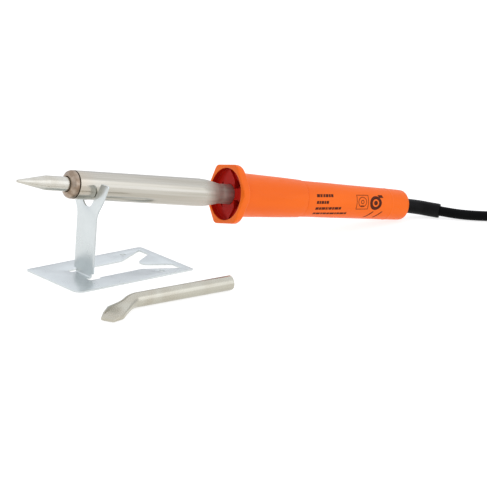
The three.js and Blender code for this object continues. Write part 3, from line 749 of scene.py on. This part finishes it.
def grip_radius(s):
    """Radius of the grip's outside at s."""
    for (s0, r0, _), (s1, r1, _) in zip(GRIP_OUTSIDE, GRIP_OUTSIDE[1:]):
        if s0 <= s <= s1:
            return r0 + (r1 - r0) * (s - s0) / (s1 - s0)
    return GRIP_OUTSIDE[-1][1]


def hexagon(apothem, fillet, angle):
    """How far the rounded hexagon reaches at an angle from one of its corners."""
    half = math.pi / 6
    off = abs(angle % (2 * half) - half)
    if off < math.atan((apothem - fillet) * math.tan(half) / apothem):
        return apothem / math.cos(off)
    centre = (apothem - fillet) / math.cos(half)
    away = half - off
    return centre * math.cos(away) + math.sqrt(fillet**2 - (centre * math.sin(away)) ** 2)


def guard_rings(sides):
    """The guard's section, as rings: a circle of a radius, or a hexagon inset by some mm."""
    def circular(s, radius):
        return [Vector((s, p.x, p.y)) for p in circle(radius, sides)]

    def six_sided(s, inset):
        ring = []
        backward = (s - FLANGE_FRONT) / (FLANGE_BACK - FLANGE_FRONT)
        fillet = FLANGE_FILLET - inset + FLANGE_FILLET_GROWTH * backward
        for k in range(sides):
            a = 2 * math.pi * k / sides
            reach = hexagon(FLANGE_APOTHEM - inset, fillet, a)
            ring.append(Vector((s, reach * math.cos(a), reach * math.sin(a))))
        return ring

    rings = [circular(s, r) for s, r in rounded([
        (CUP_FLOOR, NECK_RADIUS + 0.3, 0), (CUP_FLOOR, CUP_RADIUS, 0.5), (FLANGE_FRONT, CUP_RADIUS, 0.45),
        (FLANGE_FRONT, CUP_RADIUS + 1, 0),
    ], 5, closed=False)]
    edge = 0.8
    turns = [math.pi / 2 * k / 6 for k in range(7)]
    rings += [six_sided(FLANGE_FRONT + edge * (1 - math.cos(a)), edge * (1 - math.sin(a))) for a in turns]
    rings += [six_sided(FLANGE_BACK - edge * (1 - math.sin(a)), edge * (1 - math.cos(a))) for a in turns]
    rings += [circular(s, r) for s, r in rounded([
        (FLANGE_BACK, 17.4, 0), (FLANGE_BACK, 15.25, 1.9), (137, 14.67, 9), (158, 13.87, 9), (170, 13.32, 9),
        (GUARD_REAR, 13.0, 0.3), (GUARD_REAR, 10.8, 0.2), (HUB_BACK, 12.9, 0.3),
        (HUB_BACK, NECK_RADIUS + 0.3, 0.1),
    ], 5, closed=False)]
    return rings


def star():
    """The four-pointed rib plate inside the cup, its front edges slightly chamfered."""
    chamfer = 0.25
    rings = []
    for s, inset in ((STAR_FRONT, chamfer), (STAR_FRONT + chamfer, 0), (CUP_FLOOR + 0.6, 0)):
        points = []
        for k in range(8):
            a = k * math.pi / 4
            reach = (11 if k % 2 else CUP_RADIUS + 0.25) - inset
            points.append(Vector((s, reach * math.cos(a), reach * math.sin(a))))
        rings.append(points)
    return skin(rings)


def cup_windows():
    """Pockets either side of the two sideways ribs, open into the handle."""
    for side in (1, -1):
        for up in (1, -1):
            opening = box_mesh(
                (STAR_FRONT - 1, min(side * 6.4, side * 11.8), min(up * 3.9, up * 10.6)),
                (HUB_BACK + 1, max(side * 6.4, side * 11.8), max(up * 3.9, up * 10.6)),
            )
            yield combine(opening, "INTERSECT", rod((STAR_FRONT - 2, 0, 0), (HUB_BACK + 2, 0, 0), 12.3, 64))


def make_guard():
    body = combine(skin(guard_rings(192), closed=True), "UNION", star())
    holes = [rod((STAR_FRONT + 0.8, 0, 9.4 * z), (HUB_BACK + 1, 0, 9.4 * z), 1.75) for z in (1, -1)]
    for side in (1, -1):
        turn = Matrix.Rotation(side * GRIP_SCREW_TURN, 3, "X")
        holes.append(rod(turn @ Vector((GRIP_SCREW, 9, 0)), turn @ Vector((GRIP_SCREW, 16, 0)), 1.75))
    bore = rod((STAR_FRONT - 2, 0, 0), (HUB_BACK + 1, 0, 0), NECK_RADIUS + 0.3, 96)
    body = combine(body, "DIFFERENCE", bore, *cup_windows(), *holes)
    # faces inside the cup (floor, ribs and walls) take the deep red painted shade
    for face in body.faces:
        middle = face.calc_center_median()
        in_cup = math.hypot(middle.y, middle.z) < CUP_RADIUS + 0.02
        if in_cup and FLANGE_FRONT + 0.3 < middle.x < HUB_BACK - 0.2:
            face.material_index = 1
    piece("handle_guard_shell", body, "iron", [ORANGE, CUP_PAINTED_SHADE], ["handle_guard"], HANDLE)


def make_grip():
    inside = [
        (HANDLE_END, 5.8, 0.3), (264.9, 5.5, 0.5), (262.5, 7.3, 0.5), (258, 9.0, 1), (221, 9.9, 1),
        (190, 10.2, 1), (GRIP_FRONT, 9.2, 0), (168, 9.2, 0.2), (168, 10.5, 0.2), (GRIP_FRONT, 10.5, 0),
    ]
    shell = turned([*GRIP_OUTSIDE, *inside], 144, 5)
    piece("handle_grip_shell", shell, "iron", [ORANGE], ["handle_grip"], HANDLE)


def make_grip_screws():
    for i, side in enumerate((1, -1)):
        screw = turned([
            (-3.2, 0, 0), (-3.2, 0.9, 0.2), (0, 0.9, 0), (0, 1.45, 0.1), (1.5, 1.45, 0.3), (1.5, 0, 0),
        ], 32)
        across = [box_mesh((0.8, -2, -0.2), (2, 2, 0.2)), box_mesh((0.8, -0.2, -2), (2, 0.2, 2))]
        made = combine(screw, "DIFFERENCE", *across)
        place = (
            HANDLE @ Matrix.Rotation(side * GRIP_SCREW_TURN, 4, "X")
            @ Matrix.Translation((GRIP_SCREW * MM, 11.4 * MM, 0)) @ Matrix.Rotation(math.pi / 2, 4, "Z")
        )
        node = f"grip_screw_{i + 1}"
        piece(f"cross_head_screw_{i + 1}", made, "iron", [SCREW], [node], place)


# ---- print on the grip: plain bars, a frame, a disc and two strokes, with no lettering --------------------
PRINT_TURN = math.radians(-0.25)  # the print runs slightly askew, per mm
PRINT_RADIUS = 12.0  # for turning mm round the grip into an angle


def on_grip(s, around, lift):
    """A point of the grip's surface; around is in mm from the middle of the side that carries the print."""
    angle = math.radians(84) + around / PRINT_RADIUS + PRINT_TURN * (s - 205)
    radius = grip_radius(s) + lift
    return Vector((s, -radius * math.sin(angle), radius * math.cos(angle)))


def patch(place, columns, rows, wraps=False):
    """A thin closed layer of ink; place(u, v) gives s and around, for u and v from 0 to 1."""
    bm = bmesh.new()
    layers = []
    for lift in (-0.03, 0.04):
        grid = [[bm.verts.new(on_grip(*place(i / columns, j / rows), lift)) for j in range(rows + 1)]
                for i in range(columns if wraps else columns + 1)]
        layers.append(grid)
    count = len(layers[0])
    spans = count if wraps else count - 1
    for i in range(spans):
        n = (i + 1) % count
        for j in range(rows):
            for grid in layers:
                bm.faces.new((grid[i][j], grid[n][j], grid[n][j + 1], grid[i][j + 1]))
        for j in (0, rows):
            low, high = layers
            bm.faces.new((low[i][j], low[n][j], high[n][j], high[i][j]))
    if not wraps:
        for i in (0, count - 1):
            for j in range(rows):
                low, high = layers
                bm.faces.new((low[i][j], low[i][j + 1], high[i][j + 1], high[i][j]))
    bmesh.ops.recalc_face_normals(bm, faces=bm.faces)
    return bm


def bar(s0, s1, a0, a1, slant=0):
    """A bar from s0 to s1 and a0 to a1, its far edge pushed along by the slant."""
    rows = max(1, round(abs(a1 - a0) / 0.6))
    return patch(lambda u, v: (s0 + (s1 - s0) * u + slant * v, a0 + (a1 - a0) * v), 3, rows)


def ring_print(s, around, inner, outer):
    def place(u, v):
        radius = inner + (outer - inner) * v
        return s + radius * math.cos(2 * math.pi * u), around + radius * math.sin(2 * math.pi * u)
    return patch(place, 48, 3, wraps=True)


def bar_line(start, around, widths, height):
    """A row of short bars with gaps between them, in place of a line of writing."""
    made, s = [], start
    for width in widths:
        made.append(bar(s, s + width, around - height / 2, around + height / 2))
        s += width + 0.45
    return made


def make_print():
    shapes = bar_line(183.8, -5.0, (2.6, 1.6, 0.5, 1.4, 2.2, 1.6, 2.0), 2.1)
    shapes += bar_line(184.0, -0.4, (1.8, 1.4, 2.1, 1.4, 2.0), 2.0)
    shapes += bar_line(184.2, 4.0, (2.6, 1.8, 3.0, 1.4, 0.6, 2.4, 1.6, 3.2, 2.0), 1.9)
    shapes += bar_line(184.4, 8.4, (2.0, 3.4, 1.6, 2.8, 2.2, 3.6, 1.4, 2.4, 3.2, 2.0), 1.7)
    left, right, top, bottom, line = 219.6, 230.3, -5.8, 5.0, 0.45
    shapes += [
        bar(left, right, top, top + line), bar(left, right, bottom - line, bottom),
        bar(left, left + line, top + line, bottom - line),
        bar(right - line, right, top + line, bottom - line),
        ring_print(224.9, -0.5, 3.3, 3.8), ring_print(224.9, -0.5, 1.0, 1.5), bar(223.6, 226.2, 2.0, 2.6),
        ring_print(237.0, 0.3, 0.02, 1.7), ring_print(237.0, 0.3, 2.9, 5.3),
        bar(239.2, 243.2, -5.9, -3.6, 0.8),
        bar(230.4, 231.7, 13.2, 7.0, 5.0), bar(238.4, 239.7, 13.2, 7.0, 5.0),
    ]
    joined = bmesh.new()
    for shape in shapes:
        mesh = bpy.data.meshes.new("print_shape")
        shape.to_mesh(mesh)
        shape.free()
        joined.from_mesh(mesh)
        bpy.data.meshes.remove(mesh)
    piece("handle_print", joined, "iron", [INK], (), IRON)


# ---- spare tip -----------------------------------------------------------------------------------------
SPARE_SECTIONS = [  # along the blade, half width, half thickness, sideways shift, squareness
    (5, 4.95, 4.2, 0, 2.05), (8, 5.1, 3.8, -0.1, 2.2), (11, 5.6, 3.4, -0.3, 2.5), (14, 6.5, 2.9, -0.8, 3.0),
    (16.6, 7.2, 2.55, -1.1, 3.6), (18, 7.4, 2.4, -1.1, 4.2), (24.5, 7.35, 2.05, 0.1, 5),
    (26, 7.2, 1.95, 0.2, 5), (33, 4.9, 1.2, 0.3, 5), (33.6, 4.6, 0.9, 0.3, 5),
]


def make_spare_tip():
    sides, level = 64, TIP_RADIUS
    rear, knee = Vector((*SPARE_REAR, level)), Vector((*SPARE_KNEE, level))
    rodway = (knee - rear).normalized()
    bladeway = Vector((-math.cos(SPARE_BLADE), -math.sin(SPARE_BLADE), -SPARE_DROP)).normalized()
    back = SPARE_BEND_RADIUS * math.tan(rodway.angle(bladeway) / 2)

    def ring(centre, way, half_width, half_thickness, shift=0, power=2):
        across = Vector((0, 0, 1)).cross(way).normalized()
        up = way.cross(across)
        points = []
        for k in range(sides):
            c, s = math.cos(2 * math.pi * k / sides), math.sin(2 * math.pi * k / sides)
            reach = (abs(c) ** power + abs(s) ** power) ** (-1 / power)
            sideways, upward = half_width * reach * c + shift, half_thickness * reach * s
            points.append(centre + across * sideways + up * upward)
        return points

    rings = [[rear]]
    for k in range(5):
        a = math.pi / 2 * k / 4
        inset, run = 0.6 * (1 - math.sin(a)), 0.6 * (1 - math.cos(a))
        rings.append(ring(rear + rodway * run, rodway, level - inset, level - inset))
    for k in range(13):
        t = k / 12
        centre = knee - rodway * back * (1 - t) ** 2 + bladeway * back * t**2
        rings.append(ring(centre, rodway.lerp(bladeway, t).normalized(), level, min(level, centre.z)))
    for along, *section in SPARE_SECTIONS:
        rings.append(ring(knee + bladeway * along, bladeway, *section))
    piece("spare_bent_bit", skin(rings), "spare_bit", [SPARE_NICKEL], ["spare_tip"], smooth=28)


# ---- tie and plug --------------------------------------------------------------------------------------
def make_tie():
    """The strap round the hank's far run, with its free end tucked under a small clasp."""
    low, high = BUNDLE_HEIGHT - 2 * CORD - 0.3, BUNDLE_HEIGHT + 2 * CORD + 0.3
    near, far = HANK_Y + BUNDLE - 2 * CORD - 0.3, HANK_Y + BUNDLE + 2 * CORD + 0.3
    rings = []
    for x, grow in ((0, TIE_THICK - 0.2), (0.2, TIE_THICK), (TIE_WIDE - 0.2, TIE_THICK),
                    (TIE_WIDE, TIE_THICK - 0.2), (TIE_WIDE, 0), (0, 0)):
        corner = 3 + grow
        line = rounded([
            (near - grow, low - grow, corner), (far + grow, low - grow, corner),
            (far + grow, high + grow, corner), (near - grow, high + grow, corner),
        ], 8)
        rings.append([Vector((TIE_X + x, p.x, p.y)) for p in line])
    band = skin(rings, closed=True)
    clasp = box_mesh(
        (TIE_X - 0.6, near + 3.5, high + 0.3), (TIE_X + TIE_WIDE + 0.6, near + 9, high + TIE_THICK + 0.9),
    )
    joined = combine(band, "UNION", soften(clasp, 0.4))
    return piece("hank_tie", joined, "stand", [TIE_BLACK], ["cord_tie"])


def make_plug():
    """Moulded earthed plug: ribbed strain relief, fluted finger grip and the notched round face."""
    corners = [(0, 0, 0), (0, 4.8, 0.3)]
    for k in range(5):
        s = 3 + 3.2 * k
        r = 4.85 + 0.07 * s
        corners += [(s, r, 0.2), (s, r - 0.9, 0.2), (s + 1.3, r - 0.8, 0.2), (s + 1.3, r + 0.05, 0.2)]
    corners += [
        (19.5, 6.2, 1), (21, 8.6, 1), (30, 11.6, 5), (41, 12.6, 4), (45.5, 11.8, 2), (48.5, 17.6, 1),
        (49.5, 18.4, 0.5), (56.6, 18.4, 0.6), (57, 17.8, 0.2), (57, 0, 0),
    ]
    body = turned(corners, 96, 4)
    cutters = [
        box_mesh((48.5, -3.2, 15.4), (60.5, 3.2, 19.8)), box_mesh((48.5, -3.2, -19.8), (60.5, 3.2, -15.4)),
    ]
    for side in (1, -1):
        for k in range(5):
            s = 29 + 2.6 * k
            cutters.append(rod((s, -8, side * 13.1), (s, 8, side * 13.1), 0.9, 16))
    body = combine(body, "DIFFERENCE", *cutters)
    made = [piece("plug_moulding", body, "stand", [PLUG_BLACK], ["plug_body"], PLUG_FRAME)]
    for i, side in enumerate((1, -1)):
        pin = turned([(57.3, 0, 0), (57.3, 2.4, 0.1), (75.2, 2.4, 1.4), (76.4, 0.9, 0.8), (76.4, 0, 0)], 40)
        bmesh.ops.translate(pin, vec=(0, 9.5 * side, 0), verts=pin.verts)
        made.append(piece(
            f"plug_round_pin_{i + 1}", pin, "stand", [PIN_METAL], [f"plug_pin_{i + 1}"],
            PLUG_FRAME,
        ))
        clip = soften(box_mesh((49, -2.8, 16.5 * side - 0.6), (56.6, 2.8, 16.5 * side + 0.6)), 0.35, 45, 3)
        made.append(piece(
            f"plug_earth_spring_{i + 1}", clip, "stand", [PIN_METAL],
            [f"plug_earth_clip_{i + 1}"], PLUG_FRAME,
        ))
    return made


# ---- carried-over CAD nodes ------------------------------------------------------------------------------
def dress_cad_nodes():
    """Every CAD node that stays in view gets its slot's material."""
    slots = {part["node"]: part["material_slot"] for part in frame["record"]["subparts"]}
    for name, node in frame["nodes"].items():
        if not node.hide_render:
            node.data.materials.clear()
            node.data.materials.append(INSIDE[slots[name]])


# ---- studio ----------------------------------------------------------------------------------------------
BOX_AZIMUTH = math.radians(-70)  # the middle of the large soft light, from +X


def make_studio():
    floor_material = bpy.data.materials.new("pale_floor")
    floor_material.use_nodes = True
    surface = floor_material.node_tree.nodes["Principled BSDF"]
    surface.inputs["Base Color"].default_value = (0.36, 0.355, 0.35, 1)
    surface.inputs["Roughness"].default_value = 0.9
    surface.inputs["Specular IOR Level"].default_value = 0.0
    surface.inputs["Emission Color"].default_value = (1, 1, 1, 1)
    surface.inputs["Emission Strength"].default_value = 0.78
    bm = bmesh.new()
    bmesh.ops.create_grid(bm, x_segments=1, y_segments=1, size=8)
    mesh = bpy.data.meshes.new("floor")
    bm.to_mesh(mesh)
    bm.free()
    mesh.materials.append(floor_material)
    floor = bpy.data.objects.new("floor", mesh)
    floor.location.z = -0.0002
    scene.collection.objects.link(floor)

    world = bpy.data.worlds.new("studio")
    scene.world = world
    world.use_nodes = True
    tree = world.node_tree
    way = tree.nodes.new("ShaderNodeTexCoord").outputs["Generated"]

    def node(kind, inputs, output=0, **settings):
        made = tree.nodes.new(kind)
        for key, value in settings.items():
            setattr(made, key, value)
        for key, value in inputs.items():
            if isinstance(value, bpy.types.NodeSocket):
                tree.links.new(value, made.inputs[key])
            else:
                made.inputs[key].default_value = value
        return made.outputs[output]

    def step(value, low, high, start, end):
        return node(
            "ShaderNodeMapRange",
            {"Value": value, "From Min": low, "From Max": high, "To Min": start, "To Max": end},
            interpolation_type="SMOOTHSTEP",
        )

    height = node("ShaderNodeSeparateXYZ", {0: way}, 2)
    level = node("ShaderNodeVectorMath", {0: way, 1: (1, 1, 0)}, operation="MULTIPLY")
    level = node("ShaderNodeVectorMath", {0: level}, operation="NORMALIZE")
    to_box = Vector((math.cos(BOX_AZIMUTH), math.sin(BOX_AZIMUTH), 0))
    facing = node("ShaderNodeVectorMath", {0: level, 1: to_box}, 1, operation="DOT_PRODUCT")
    overhead = step(height, 0.3, 0.62, 0.88, 1.2)
    inside = node(
        "ShaderNodeMath", {0: step(facing, 0.80, 0.90, 0, 1), 1: step(height, 0.5, 0.78, 1, 0)},
        operation="MULTIPLY",
    )
    light = node("ShaderNodeMath", {0: inside, 1: 0.72, 2: overhead}, operation="MULTIPLY_ADD")
    tree.nodes["Background"].inputs["Color"].default_value = (1, 1.02, 1.08, 1)
    tree.links.new(light, tree.nodes["Background"].inputs["Strength"])
    scene.view_settings.view_transform = "Standard"
    scene.view_settings.look = "None"


# ---- build -----------------------------------------------------------------------------------------------
make_camera()
cord_pieces = [make_sleeve(), *make_plug(), make_tie()]
make_lead()
make_stand()
make_tip()
make_nose_ring()
make_barrel()
make_tip_screw()
make_guard()
make_grip()
make_grip_screws()
make_print()
make_spare_tip()
dress_cad_nodes()
make_studio()
